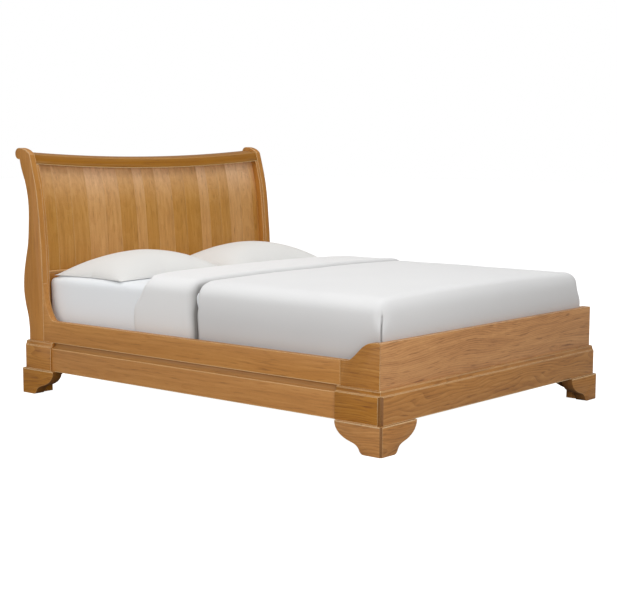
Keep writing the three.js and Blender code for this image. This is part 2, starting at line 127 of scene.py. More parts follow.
def buildWorld():
    # white where the camera sees it, dimmer where it lights the bed
    world = bpy.data.worlds.new("studioWorld")
    scene.world = world
    world.use_nodes = True
    tree = world.node_tree
    tree.nodes.clear()
    output = tree.nodes.new("ShaderNodeOutputWorld")
    mix = tree.nodes.new("ShaderNodeMixShader")
    seen, lit = tree.nodes.new("ShaderNodeBackground"), tree.nodes.new("ShaderNodeBackground")
    rays = tree.nodes.new("ShaderNodeLightPath")
    seen.inputs["Color"].default_value = white
    lit.inputs["Color"].default_value = white
    lit.inputs["Strength"].default_value = studio["ambient"]
    tree.links.new(rays.outputs["Is Camera Ray"], mix.inputs["Fac"])
    tree.links.new(lit.outputs[0], mix.inputs[1])
    tree.links.new(seen.outputs[0], mix.inputs[2])
    tree.links.new(mix.outputs[0], output.inputs["Surface"])


def buildFloor():
    mesh = bpy.data.meshes.new("floor")
    r = studio["floorReach"]
    mesh.from_pydata([(-r, -r, 0), (r, -r, 0), (r, r, 0), (-r, r, 0)], [], [(0, 1, 2, 3)])
    floor = bpy.data.objects.new("floor", mesh)
    scene.collection.objects.link(floor)
    floor.location.z = -studio["floorDrop"]
    paper = bpy.data.materials.new("paperFloor")
    paper.use_nodes = True
    tree = paper.node_tree
    shader = tree.nodes["Principled BSDF"]
    shader.inputs["Base Color"].default_value = tint(studio["floorColour"])
    shader.inputs["Roughness"].default_value = studio["floorRough"]
    shader.inputs["Specular IOR Level"].default_value = studio["floorShine"]
    shader.inputs["Emission Color"].default_value = white
    # the paper looks white to the camera but throws little light back up
    rays = tree.nodes.new("ShaderNodeLightPath")
    lift = tree.nodes.new("ShaderNodeMath")
    lift.operation = "MULTIPLY"
    lift.inputs[1].default_value = studio["floorLift"]
    tree.links.new(rays.outputs["Is Camera Ray"], lift.inputs[0])
    tree.links.new(lift.outputs[0], shader.inputs["Emission Strength"])
    mesh.materials.append(paper)


def buildStudio():
    buildWorld()
    buildFloor()
    for name, light in softboxes.items():
        areaLight(name, **light)
    scene.view_settings.view_transform = "Standard"
    print("studio ready")


buildCamera()
buildStudio()


def newGroup(name, inputs, outputs):
    # a group with its inputs and outputs, each given as a name and a kind; the materials set the values
    tree = bpy.data.node_groups.new(name, "ShaderNodeTree")
    for direction, sockets in (("INPUT", inputs), ("OUTPUT", outputs)):
        for title, kind in sockets.items():
            tree.interface.new_socket(name=title, in_out=direction, socket_type="NodeSocket" + kind)
    return tree, tree.nodes.new("NodeGroupInput"), tree.nodes.new("NodeGroupOutput")


def step(tree, kind, links=(), **settings):
    # a node with its settings; links are (input, socket or value)
    node = tree.nodes.new("ShaderNode" + kind)
    for name, value in settings.items():
        setattr(node, name, value)
    for key, value in links:
        if isinstance(value, bpy.types.NodeSocket):
            tree.links.new(value, node.inputs[key])
        else:
            node.inputs[key].default_value = value
    return node


def sums(tree, operation, a, b=0.0, c=0.0, clamp=False):
    links = [(0, a), (1, b)] + ([(2, c)] if operation == "MULTIPLY_ADD" else [])
    return step(tree, "Math", links, operation=operation, use_clamp=clamp).outputs[0]


def blendColours(tree, fac, a, b, kind="MIX"):
    node = step(tree, "Mix", (), data_type="RGBA", blend_type=kind)
    for key, value in ((0, fac), (6, a), (7, b)):
        if isinstance(value, bpy.types.NodeSocket):
            tree.links.new(value, node.inputs[key])
        else:
            node.inputs[key].default_value = value
    return node.outputs[2]


def stretched(tree, vector, scale):
    return step(tree, "VectorMath", [(0, vector), (1, scale)], operation="MULTIPLY").outputs[0]


def noiseOf(tree, vector, scale, detail=3.0, rough=0.5):
    links = [("Vector", stretched(tree, vector, scale)), ("Scale", 1.0), ("Detail", detail),
             ("Roughness", rough)]
    return step(tree, "TexNoise", links)


def spreadOut(tree, value, low, high):
    # stretches the range low..high to 0..1
    return step(tree, "MapRange", [("Value", value), ("From Min", low), ("From Max", high)]).outputs[0]


# scales run along, across and through the board; shares add up to the shade between dark and light
figureSet = {
    "wanderScale": (1.3, 4.5, 4.5), "sway": (0.0, 0.1, 0.1), "ringSharpness": 1.7,
    "streakScale": (1.4, 46, 46), "fibreScale": (5, 120, 120), "grainRange": (0.32, 0.68),
    "fleckScale": (10, 125, 125), "fleckRange": (0.6, 0.74),
    "poreScale": (48, 1500, 1500), "poreRange": (0.6, 0.72),
    "ground": 0.24, "streaks": 0.4, "fibres": 0.32, "flecks": -0.42, "halfway": 0.5, "middle": 0.52,
    "toneLift": 0.16, "toneDepth": -0.08, "poreHeight": -0.8, "fibreHeight": 0.5,
}


def buildWoodFigure():
    g = figureSet
    inputs = {"Grain": "Vector", "Light": "Color", "Middle": "Color", "Dark": "Color", "Tone": "Float",
              "Figure": "Float", "Rings": "Float", "Cathedral": "Float", "Contrast": "Float", "Pores": "Float"}
    outputs = {"Colour": "Color", "Height": "Float", "Sheen": "Float"}
    tree, given, output = newGroup("woodFigure", inputs, outputs)
    grain = given.outputs["Grain"]
    # slow wander of the growth rings along the board
    wander = noiseOf(tree, grain, g["wanderScale"], 2.0).outputs["Color"]
    shift = step(tree, "VectorMath", [(0, wander), (1, (0.5, 0.5, 0.5))], operation="SUBTRACT").outputs[0]
    amount = [(0, stretched(tree, shift, g["sway"])), ("Scale", given.outputs["Figure"])]
    scaled = step(tree, "VectorMath", amount, operation="SCALE").outputs[0]
    bent = step(tree, "VectorMath", [(0, grain), (1, scaled)], operation="ADD").outputs[0]
    rings = step(tree, "TexWave", [("Vector", bent), ("Scale", given.outputs["Rings"])],
                 wave_type="RINGS", rings_direction="X", wave_profile="SAW").outputs["Fac"]
    ringShade = sums(tree, "POWER", rings, g["ringSharpness"])
    ringShade = sums(tree, "MULTIPLY", ringShade, given.outputs["Cathedral"])
    streaks = noiseOf(tree, bent, g["streakScale"], 4.0, 0.6).outputs["Fac"]
    streaks = spreadOut(tree, streaks, *g["grainRange"])
    fibres = noiseOf(tree, bent, g["fibreScale"], 5.0, 0.75).outputs["Fac"]
    fibres = spreadOut(tree, fibres, *g["grainRange"])
    # short darker flecks, a few centimetres long
    flecks = noiseOf(tree, bent, g["fleckScale"], 1.5, 0.5).outputs["Fac"]
    flecks = spreadOut(tree, flecks, *g["fleckRange"])
    shade = sums(tree, "SUBTRACT", g["ground"], ringShade)
    for share, mark in ((g["streaks"], streaks), (g["fibres"], fibres), (g["flecks"], flecks)):
        shade = sums(tree, "MULTIPLY_ADD", mark, share, shade)
    shade = sums(tree, "SUBTRACT", shade, g["halfway"])
    shade = sums(tree, "MULTIPLY_ADD", shade, given.outputs["Contrast"], g["middle"], clamp=True)
    lower = sums(tree, "MULTIPLY", shade, 2.0, clamp=True)
    upper = sums(tree, "MULTIPLY_ADD", shade, 2.0, -1.0, clamp=True)
    colour = blendColours(tree, lower, given.outputs["Dark"], given.outputs["Middle"])
    colour = blendColours(tree, upper, colour, given.outputs["Light"])
    # paler boards are less strong in colour
    lift = sums(tree, "MULTIPLY_ADD", given.outputs["Tone"], g["toneLift"], 1.0)
    depth = sums(tree, "MULTIPLY_ADD", given.outputs["Tone"], g["toneDepth"], 1.0)
    toned = [("Color", colour), ("Saturation", depth), ("Value", lift)]
    colour = step(tree, "HueSaturation", toned).outputs[0]
    # open pores: short dark dashes along the grain
    pores = noiseOf(tree, grain, g["poreScale"], 2.0, 0.5).outputs["Fac"]
    pores = spreadOut(tree, pores, *g["poreRange"])
    poreMask = sums(tree, "MULTIPLY", pores, given.outputs["Pores"])
    colour = blendColours(tree, poreMask, colour, given.outputs["Dark"], "MULTIPLY")
    height = sums(tree, "MULTIPLY", fibres, g["fibreHeight"])
    height = sums(tree, "MULTIPLY_ADD", poreMask, g["poreHeight"], height)
    tree.links.new(colour, output.inputs["Colour"])
    tree.links.new(height, output.inputs["Height"])
    tree.links.new(shade, output.inputs["Sheen"])
    return tree


# how strongly the painted highlight on the arrises shows, by the way that they face, where a wood doesn't say
# otherwise
arrisSet = {"edgeWidth": 0.0055, "upper": 0.45, "lower": 5.0, "samples": 4,
            "uprightGain": 9.0}
arrisInputs = {"edgeWidth": "Radius", "upright": "Upright", "upper": "Upper", "lower": "Lower"}


def buildArris():
    # finds edges for the painted highlight: where a rounded-over normal leaves the real one; level edges and
    # upright ones apart
    inputs = {name: "Float" for name in arrisInputs.values()}
    tree, given, output = newGroup("arrisHighlight", inputs, {"Edge": "Float"})
    bevel = step(tree, "Bevel", [("Radius", given.outputs["Radius"])], samples=arrisSet["samples"])
    rounded = bevel.outputs[0]
    plain = tree.nodes.new("ShaderNodeNewGeometry").outputs["Normal"]
    change = step(tree, "VectorMath", [(0, rounded), (1, plain)], operation="SUBTRACT").outputs[0]
    up = step(tree, "SeparateXYZ", [(0, change)]).outputs[2]
    above = sums(tree, "MULTIPLY", up, given.outputs["Upper"])
    below = sums(tree, "MULTIPLY", up, sums(tree, "MULTIPLY", given.outputs["Lower"], -1.0))
    level = sums(tree, "MAXIMUM", above, below, clamp=True)
    dot = step(tree, "VectorMath", [(0, rounded), (1, plain)], operation="DOT_PRODUCT").outputs["Value"]
    away = sums(tree, "MULTIPLY", sums(tree, "SUBTRACT", 1.0, dot), arrisSet["uprightGain"], clamp=True)
    upright = sums(tree, "MULTIPLY", away, given.outputs["Upright"])
    tree.links.new(sums(tree, "MAXIMUM", level, upright), output.inputs["Edge"])
    return tree


weaveSet = {"lintScale": (260, 260, 260), "lintHeight": 0.8, "threadHeight": 0.25,
            "cloudScale": (3, 3, 3), "cloudRange": (0.35, 0.65), "cloudShare": 0.12}


def buildWeave():
    inputs = {"Vector": "Vector", "Threads": "Float", "Colour": "Color", "Shadow": "Color"}
    tree, given, output = newGroup("clothWeave", inputs, {"Height": "Float", "Colour": "Color"})
    place = given.outputs["Vector"]
    threads = [(0, place), ("Scale", given.outputs["Threads"])]
    scaled = step(tree, "VectorMath", threads, operation="SCALE").outputs[0]
    parts = step(tree, "SeparateXYZ", [(0, scaled)])
    sines = [sums(tree, "SINE", parts.outputs[i]) for i in range(3)]
    crossings = [sums(tree, "MULTIPLY", sines[i], sines[j]) for i, j in ((0, 1), (1, 2), (0, 2))]
    cross = sums(tree, "ADD", sums(tree, "ADD", crossings[0], crossings[1]), crossings[2])
    lint = noiseOf(tree, place, weaveSet["lintScale"], 3.0, 0.6).outputs["Fac"]
    height = sums(tree, "MULTIPLY", cross, weaveSet["threadHeight"])
    height = sums(tree, "MULTIPLY_ADD", lint, weaveSet["lintHeight"], height)
    cloudy = noiseOf(tree, place, weaveSet["cloudScale"], 2.0).outputs["Fac"]
    cloudy = spreadOut(tree, cloudy, *weaveSet["cloudRange"])
    mask = sums(tree, "MULTIPLY", sums(tree, "MULTIPLY", cloudy, lint), weaveSet["cloudShare"])
    colour = blendColours(tree, mask, given.outputs["Colour"], given.outputs["Shadow"])
    tree.links.new(height, output.inputs["Height"])
    tree.links.new(colour, output.inputs["Colour"])
    return tree


woodFigure, arrisHighlight, clothWeave = buildWoodFigure(), buildArris(), buildWeave()
print("shader groups ready")


# three colours of the wood and one for the painted highlight on its edges; the numbers go to woodFigure and
# the arris group
woods = {
    "oakRail": {"light": "#d99d53", "middle": "#c08138", "dark": "#8e5923", "edge": "#f6d9a4",
                "upright": 0.15, "rings": 34, "figure": 0.6, "cathedral": 0.14, "contrast": 0.6,
                "pores": 0.3, "rough": 0.42},
    "oakPlinth": {"light": "#d79e55", "middle": "#bb7d36", "dark": "#855120", "edge": "#fbe3b4",
                  "upright": 0.03, "edgeWidth": 0.0065, "upper": 0.2, "rings": 40, "figure": 1.3,
                  "cathedral": 0.34, "contrast": 0.72, "pores": 0.4, "rough": 0.42},
    "oakPanel": {"light": "#dfac66", "middle": "#c48c45", "dark": "#93612a", "edge": "#e2bd88",
                 "upright": 0.0, "rings": 30, "figure": 0.4, "cathedral": 0.14, "contrast": 0.62,
                 "pores": 0.4, "rough": 0.45},
    # the darker oak of the lower rail's cove: painted shade in the hollow
    "oakCoveShade": {"light": "#c48b47", "middle": "#a97231", "dark": "#7b4d1f", "edge": "#e6c084",
                  "upright": 0.3, "rings": 36, "figure": 0.6, "cathedral": 0.12, "contrast": 0.5,
                  "pores": 0.3, "rough": 0.45},
    "oakShadowed": {"light": "#a06c35", "middle": "#875826", "dark": "#63401c", "edge": "#b98a52",
                    "upright": 0.1, "rings": 36, "figure": 0.6, "cathedral": 0.12, "contrast": 0.6,
                    "pores": 0.4, "rough": 0.5},
    "slatPine": {"light": "#ecd2a0", "middle": "#dfbd82", "dark": "#bd8f52", "edge": "#f0dcb4",
                 "upright": 0.5, "rings": 26, "figure": 0.7, "cathedral": 0.2, "contrast": 0.6,
                 "pores": 0.05, "rough": 0.6},
}
# the posts and the feet are of the same oak, with other painted highlights on their edges
woods["oakPost"] = dict(woods["oakRail"], edge="#fae2b4", upright=0.9, contrast=0.5)
woods["oakFoot"] = dict(woods["oakPlinth"], edgeWidth=0.008, upper=5.0, lower=0.4)
woodFinish = {"edgeShare": 0.9, "bump": 0.25, "bumpDepth": 0.0004, "shine": 0.4, "sheen": -0.1,
              "sheenBase": 0.05}

cloths = {
    # the turned-back part is the duvet's own cloth, painted paler than the body: painted light
    "turnedCotton": {"colour": "#f8f8f8", "shadow": "#e8e8e8", "threads": 2600, "bump": 0.05, "rough": 0.9},
    "duvetCotton": {"colour": "#f3f3f3", "shadow": "#dfdfe2", "threads": 2600, "bump": 0.05, "rough": 0.9},
    "sheetCotton": {"colour": "#f9fcff", "shadow": "#eceef0", "threads": 3000, "bump": 0.05, "rough": 0.9},
    "pillowCotton": {"colour": "#edece9", "shadow": "#e0e0e2", "threads": 2800, "bump": 0.05, "rough": 0.9},
    "mattressTicking": {"colour": "#e9e8e3", "shadow": "#cfcdc6", "threads": 1500, "bump": 0.12,
                        "rough": 0.92},
}
# the grey and the share of the painted shade that the duvet carries in its creases, corner folds and sides
clothFinish = {"paintedShadeColour": "#6f6c69", "paintedShadeShare": 0.9, "bumpDepth": 0.0005, "sheen": 0.15,
               "sheenRough": 0.5, "shine": 0.25}
steel = {"dark": "#8f9194", "light": "#c3c5c7", "spangleScale": (90, 90, 260), "rough": 0.25}


def woodMaterial(name):
    look = woods[name]
    material = bpy.data.materials.new(name)
    material.use_nodes = True
    tree = material.node_tree
    shader = tree.nodes["Principled BSDF"]
    grain = step(tree, "Attribute", (), attribute_name="grain").outputs["Vector"]
    tone = step(tree, "Attribute", (), attribute_name="tone").outputs["Fac"]
    figure = step(tree, "Group", (), node_tree=woodFigure)
    tree.links.new(grain, figure.inputs["Grain"])
    tree.links.new(tone, figure.inputs["Tone"])
    for key in ("light", "middle", "dark"):
        figure.inputs[key.capitalize()].default_value = tint(look[key])
    for key in ("rings", "figure", "cathedral", "contrast", "pores"):
        figure.inputs[key.capitalize()].default_value = look[key]
    arris = step(tree, "Group", (), node_tree=arrisHighlight)
    for key, inputName in arrisInputs.items():
        arris.inputs[inputName].default_value = look[key] if key in look else arrisSet[key]
    # the arrises are lightened towards the edge colour: painted highlight
    paintedHighlight = sums(tree, "MULTIPLY", arris.outputs["Edge"], woodFinish["edgeShare"])
    highlighted = blendColours(tree, paintedHighlight, figure.outputs["Colour"], tint(look["edge"]))
    tree.links.new(highlighted, shader.inputs["Base Color"])
    roughest = look["rough"] + woodFinish["sheenBase"]
    roughness = sums(tree, "MULTIPLY_ADD", figure.outputs["Sheen"], woodFinish["sheen"], roughest)
    tree.links.new(roughness, shader.inputs["Roughness"])
    pores = [("Strength", woodFinish["bump"]), ("Distance", woodFinish["bumpDepth"]),
             ("Height", figure.outputs["Height"])]
    tree.links.new(step(tree, "Bump", pores).outputs[0], shader.inputs["Normal"])
    shader.inputs["Specular IOR Level"].default_value = woodFinish["shine"]
    return material


def clothMaterial(name):
    look = cloths[name]
    material = bpy.data.materials.new(name)
    material.use_nodes = True
    tree = material.node_tree
    shader = tree.nodes["Principled BSDF"]
    place = step(tree, "TexCoord").outputs["Object"]
    weave = step(tree, "Group", [], node_tree=clothWeave)
    tree.links.new(place, weave.inputs["Vector"])
    weave.inputs["Threads"].default_value = look["threads"]
    weave.inputs["Colour"].default_value = tint(look["colour"])
    weave.inputs["Shadow"].default_value = tint(look["shadow"])
    # painted shade from the duvet's attribute: the colour darkens towards the cloth's shadow colour, then
    # towards a grey
    paintedShade = step(tree, "Attribute", (), attribute_name="paintedShade").outputs["Fac"]
    shadedColour = blendColours(tree, paintedShade, weave.outputs["Colour"], tint(look["shadow"]), "MULTIPLY")
    deep = sums(tree, "MULTIPLY", paintedShade, clothFinish["paintedShadeShare"])
    shadedColour = blendColours(tree, deep, shadedColour, tint(clothFinish["paintedShadeColour"]))
    tree.links.new(shadedColour, shader.inputs["Base Color"])
    threads = [("Strength", look["bump"]), ("Distance", clothFinish["bumpDepth"]),
               ("Height", weave.outputs["Height"])]
    tree.links.new(step(tree, "Bump", threads).outputs[0], shader.inputs["Normal"])
    shader.inputs["Roughness"].default_value = look["rough"]
    shader.inputs["Sheen Weight"].default_value = clothFinish["sheen"]
    shader.inputs["Sheen Roughness"].default_value = clothFinish["sheenRough"]
    shader.inputs["Specular IOR Level"].default_value = clothFinish["shine"]
    return material


def steelMaterial():
    material = bpy.data.materials.new("zincSteel")
    material.use_nodes = True
    tree = material.node_tree
    shader = tree.nodes["Principled BSDF"]
    place = step(tree, "TexCoord").outputs["Object"]
    spangle = noiseOf(tree, place, steel["spangleScale"], 3.0, 0.6).outputs["Fac"]
    zinc = blendColours(tree, spangle, tint(steel["dark"]), tint(steel["light"]))
    roughness = sums(tree, "MULTIPLY_ADD", spangle, steel["rough"], steel["rough"])
    shader.inputs["Metallic"].default_value = 1.0
    tree.links.new(zinc, shader.inputs["Base Color"])
    tree.links.new(roughness, shader.inputs["Roughness"])
    return material


materials = {name: woodMaterial(name) for name in woods}
materials.update({name: clothMaterial(name) for name in cloths})
materials["zincSteel"] = steelMaterial()
print("materials ready")


slotOf = {part["node"]: part["material_slot"] for part in frame["record"]["subparts"]}
woodOfSlot = {"oak": "oakRail", "oak_plinth": "oakPlinth", "oak_panel": "oakPanel", "pine": "slatPine"}
hands, ends = ("left", "right"), ("front", "rear")

# each board is rounded over along its edges and given its own grain
timber = {
    "alongX": ["headboard_top_rail", "headboard_bottom_rail", "head_cross_rail", "footboard",
               "footboard_plinth", "headboard_plinth"]
              + [f"{end}_{hand}_foot_end" for end in ends for hand in hands]
              + [f"slat_{i:02d}" for i in range(1, 13)],
    "alongY": [f"{name}_{hand}" for hand in hands for name in (
                  "side_rail", "lower_rail", "footboard_return", "foot_plinth_block",
                  "head_plinth_block", "slat_ledger")]
              + [f"{end}_{hand}_foot_side" for end in ends for hand in hands]
              + ["centre_rail"],
    "alongZ": [f"{name}_{hand}" for hand in hands for name in ("headboard_post", "headboard_stile")]
              + [f"{end}_{hand}_foot_block" for end in ends for hand in hands]
              + ["centre_leg_front", "centre_leg_rear"],
    "seed": 11, "round": 1.3 * mm, "smallRound": 0.8 * mm, "segments": 2, "sharp": 40, "level": 0.15,
    "heartAlong": (3, 30), "heartBehind": (0.05, 0.16), "heartSideways": 0.45,
    "upright": 0.1, "cant": (0.5, 0.86), "facing": 0.7, "turned": 0.5, "aslant": 0.3, "coveHeight": 26 * mm,
    "tones": 0.4,
    # some boards take a set tone instead of a random one; the paler lower rail and footboard are painted light
    "toneOf": {"headboard_top_rail": -2.2, "lower_rail": 0.4, "front_left_foot": 0.5, "rear_left_foot": -0.9,
               "footboard": 1.4, "footboard_plinth": 0.3, "footboard_return": -0.4, "foot_plinth_block": -0.8,
               "headboard_post": -0.2, "side_rail": 0.1},
    "woodOf": {"headboard_post": "oakPost", "headboard_stile": "oakPost", "lower_rail": "oakRail",
               "footboard": "oakPlinth", "front_": "oakFoot", "rear_": "oakFoot"},
}


def giveGrain(mesh, axis, seed, tone):
    # grain runs along the first coordinate; the heart of the tree lies some way behind the board
    dice = random.Random(seed)
    order = {"x": (0, 1, 2), "y": (1, 2, 0), "z": (2, 0, 1)}[axis]
    points = np.empty(len(mesh.vertices) * 3, np.float32)
    mesh.vertices.foreach_get("co", points)
    points = points.reshape(-1, 3)[:, order].astype(float)
    low, high = points.min(0), points.max(0)
    size = high - low
    points -= (low + high) / 2
    thin = 1 if size[1] < size[2] else 2
    heart = np.zeros(3)
    sideways = timber["heartSideways"]
    heart[0] = dice.uniform(*timber["heartAlong"])
    heart[thin] = dice.choice((-1, 1)) * dice.uniform(*timber["heartBehind"])
    heart[3 - thin] = dice.uniform(-sideways, sideways) * size[3 - thin]
    attribute = mesh.attributes.new("grain", "FLOAT_VECTOR", "POINT")
    attribute.data.foreach_set("vector", (points + heart).astype(np.float32).ravel())
    shade = mesh.attributes.new("tone", "FLOAT", "POINT")
    shade.data.foreach_set("value", np.full(len(points), tone, np.float32))


def cleanBoard(name):
    # one closed body with its flat faces whole
    bm = bmesh.new()
    bm.from_mesh(nodes[name].data)
    bmesh.ops.remove_doubles(bm, verts=bm.verts, dist=hair)
    limit = math.radians(timber["level"])
    bmesh.ops.dissolve_limit(bm, angle_limit=limit, verts=bm.verts, edges=bm.edges)
    bmesh.ops.recalc_face_normals(bm, faces=bm.faces)
    return bm


def finishBoard(obj, width):
    shadeSmooth(obj.data)
    rounding = obj.modifiers.new("arrisRounding", "BEVEL")
    rounding.width, rounding.segments = width, timber["segments"]
    rounding.limit_method, rounding.angle_limit = "ANGLE", math.radians(timber["sharp"])
    rounding.harden_normals = True
    rounding.use_clamp_overlap = True


def canted(face):
    # an upright face cut across a corner
    n = face.normal
    low, high = timber["cant"]
    return abs(n.z) < timber["upright"] and low < abs(n.x) < high and low < abs(n.y) < high


def darkFaces(bm, name):
    # the cants get the darker shadowed oak; on a foot's arms the faces under the bed and the sawn curve get it
    # as painted shade
    dark = [f for f in bm.faces if canted(f)] if "plinth" in name or "foot_" in name else []
    if not name.endswith(("_foot_side", "_foot_end")):
        return dark
    across = 0 if name.endswith("side") else 1
    inward = [-math.copysign(1, sum(corner[a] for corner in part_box(name))) for a in (0, 1)]
    aslant = timber["aslant"]
    for f in bm.faces:
        n = f.normal
        inside = n[across] * inward[across] > timber["facing"]
        under = n.z < -aslant or n[1 - across] * inward[1 - across] > aslant
        sawn = abs(n[across]) < aslant and n.z < timber["turned"] and under
        if (inside or sawn) and not canted(f):
            dark.append(f)
    return dark


def coveFaces(bm, name):
    # the faces of the lower rail's cove, which take the painted shade
    if not name.startswith("lower_rail"):
        return []
    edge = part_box(name)[1].z - timber["coveHeight"]
    return [f for f in bm.faces if f.calc_center_median().z > edge and abs(f.normal.y) < timber["turned"]]


def chosen(table, name, value):
    # the last entry that the name starts with
    for start, given in table.items():
        value = given if name.startswith(start) else value
    return value


def buildBoard(name, axis, tone):
    bm = cleanBoard(name)
    for index, faces in ((1, darkFaces(bm, name)), (2, coveFaces(bm, name))):
        for face in faces:
            face.material_index = index
    mesh = bpy.data.meshes.new(name + "_board")
    bm.to_mesh(mesh)
    bm.free()
    giveGrain(mesh, axis, name, chosen(timber["toneOf"], name, tone))
    wood = chosen(timber["woodOf"], name, woodOfSlot[slotOf[name]])
    for finish in (wood, "oakShadowed", "oakCoveShade"):
        mesh.materials.append(materials[finish])
    obj = newObject(name + "_board", mesh, "frame", [name])
    finishBoard(obj, timber["smallRound"] if "slat" in name else timber["round"])


def buildTimber():
    dice = random.Random(timber["seed"])
    boards = [(name, axis) for axis in "xyz" for name in timber["along" + axis.upper()]]
    for name, axis in boards:
        buildBoard(name, axis, dice.uniform(-1, 1) * timber["tones"])
    print("timber ready:", len(boards), "boards")


buildTimber()

# the panel is edge-glued from boards of mixed widths, cut from its own solid
panelBoards = {
    "widths": (62, 112), "seed": 5, "joint": 0.7 * mm, "tones": 0.75, "paintedLightTop": 2.5, "over": 260 * mm,
}


def panelBoard(a, b, low, high, number, tone):
    bm = cleanBoard("headboard_panel")
    for x, side in ((a, -1), (b, 1)):
        if low.x + hair < x < high.x - hair:
            parts = bm.verts[:] + bm.edges[:] + bm.faces[:]
            cut = bmesh.ops.bisect_plane(
                bm, geom=parts, plane_co=(x, 0, 0), plane_no=(side, 0, 0), clear_outer=True)
            rim = [e for e in cut["geom_cut"] if isinstance(e, bmesh.types.BMEdge)]
            bmesh.ops.edgenet_fill(bm, edges=rim)
    bmesh.ops.recalc_face_normals(bm, faces=bm.faces)
    mesh = bpy.data.meshes.new("panelBoard")
    bm.to_mesh(mesh)
    bm.free()
    giveGrain(mesh, "z", f"panelBoard{number}", tone)
    return mesh


def buildPanel():
    dice = random.Random(panelBoards["seed"])
    low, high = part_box("headboard_panel")
    edges = [low.x]
    while high.x - edges[-1] > panelBoards["widths"][1] * mm:
        edges.append(edges[-1] + dice.uniform(*panelBoards["widths"]) * mm)
    edges.append(high.x)
    joined = bmesh.new()
    for i, (a, b) in enumerate(zip(edges, edges[1:])):
        mesh = panelBoard(a, b, low, high, i, dice.uniform(-1, 1) * panelBoards["tones"])
        joined.from_mesh(mesh)
        bpy.data.meshes.remove(mesh)
    whole = bpy.data.meshes.new("headboardPanel")
    joined.to_mesh(whole)
    joined.free()
    # the panel is painted paler towards the top: painted light where its curved top catches the light
    heights = np.array([v.co.z for v in whole.vertices])
    paintedLight = panelBoards["paintedLightTop"] * smooth(1 - (high.z - heights) / panelBoards["over"])
    tones = np.array([t.value for t in whole.attributes["tone"].data]) + paintedLight
    whole.attributes["tone"].data.foreach_set("value", tones.astype(np.float32))
    whole.materials.append(materials["oakPanel"])
    obj = newObject("headboardPanel", whole, "frame", ["headboard_panel"])
    finishBoard(obj, panelBoards["joint"])
    print("panel ready:", len(edges) - 1, "boards")


buildPanel()

# steel brackets with their screws; the sizes are in millimetres
brackets = {
    "plate": 3, "arm": 68, "bend": 6, "round": 0.5, "heights": (14, 44), "reach": (22, 50),
    "headRadius": 4.2, "domeHeight": 1.6, "segments": 20,
    "profile": ((1.0, 0.0), (0.95, 0.45), (0.72, 0.85), (0.34, 1.0), (0.3, 0.55)),
}


def screwHead(bm, place, normal):
    turn = Matrix.Translation(place) @ Vector(normal).to_track_quat("Z", "Y").to_matrix().to_4x4()
    count = brackets["segments"]
    angles = [2 * math.pi * i / count for i in range(count)]
    rings = []
    for share, up in brackets["profile"]:
        radius = share * brackets["headRadius"] * mm
        height = up * brackets["domeHeight"] * mm
        ring = [Vector((radius * math.cos(a), radius * math.sin(a), height)) for a in angles]
        rings.append([bm.verts.new(turn @ point) for point in ring])
    for lower, upper in zip(rings, rings[1:]):
        for i in range(count):
            j = (i + 1) % count
            bm.faces.new((lower[i], lower[j], upper[j], upper[i]))
    bm.faces.new(rings[-1])
    bm.faces.new(list(reversed(rings[0])))


def buildBracket(end, hand, out):
    name = f"{end}_bed_bracket_{hand}"
    bm = cleanBoard(name)
    mesh = bpy.data.meshes.new(name + "_plate")
    bm.to_mesh(mesh)
    bm.free()
    mesh.materials.append(materials["zincSteel"])
    finishBoard(newObject(name + "_plate", mesh, "frame", [name]), brackets["round"] * mm)
    low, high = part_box(name)
    heads = bmesh.new()
    wall = (low.x if out < 0 else high.x) - out * brackets["plate"] * mm
    for up in brackets["heights"]:
        z = low.z + up * mm
        for reach in brackets["reach"]:
            along = brackets["arm"] - reach if end == "rear" else reach
            screwHead(heads, Vector((wall, low.y + along * mm, z)), (-out, 0, 0))
            if end == "front":
                inwards = out * (reach - brackets["bend"]) * mm
                screwHead(heads, Vector((wall - inwards, low.y + brackets["plate"] * mm, z)), (0, 1, 0))
    dots = bpy.data.meshes.new(name + "_screws")
    heads.to_mesh(dots)
    heads.free()
    shadeSmooth(dots)
    dots.materials.append(materials["zincSteel"])
    newObject(name + "_screws", dots, "frame")


for end in ends:
    for hand, out in zip(hands, (-1, 1)):
        buildBracket(end, hand, out)
print("brackets ready")


def lattice(xs, ys, zs):
    # the closed skin of a block, with its grid lines where they are given
    nx, ny, nz = len(xs) - 1, len(ys) - 1, len(zs) - 1
    index, verts, faces = {}, [], []

    def point(i, j, k):
        if (i, j, k) not in index:
            index[(i, j, k)] = len(verts)
            verts.append((xs[i], ys[j], zs[k]))
        return index[(i, j, k)]

    for i in range(nx):
        for j in range(ny):
            faces.append((point(i, j, nz), point(i + 1, j, nz), point(i + 1, j + 1, nz), point(i, j + 1, nz)))
            faces.append((point(i, j, 0), point(i, j + 1, 0), point(i + 1, j + 1, 0), point(i + 1, j, 0)))
    for i in range(nx):
        for k in range(nz):
            faces.append((point(i, 0, k), point(i + 1, 0, k), point(i + 1, 0, k + 1), point(i, 0, k + 1)))
            faces.append((point(i, ny, k), point(i, ny, k + 1), point(i + 1, ny, k + 1), point(i + 1, ny, k)))
    for j in range(ny):
        for k in range(nz):
            faces.append((point(0, j, k), point(0, j, k + 1), point(0, j + 1, k + 1), point(0, j + 1, k)))
            faces.append((point(nx, j, k), point(nx, j + 1, k), point(nx, j + 1, k + 1), point(nx, j, k + 1)))
    return np.array(verts), faces, np.array(list(index.keys()))


def lines(low, high, cell, extra=()):
    count = max(2, round((high - low) / cell))
    found = sorted(set([low + (high - low) * i / count for i in range(count + 1)]) | set(extra))
    kept = [found[0]]
    for value in found[1:]:
        if value in extra or value == high or value - kept[-1] > cell / 4:
            kept.append(value)
    return kept


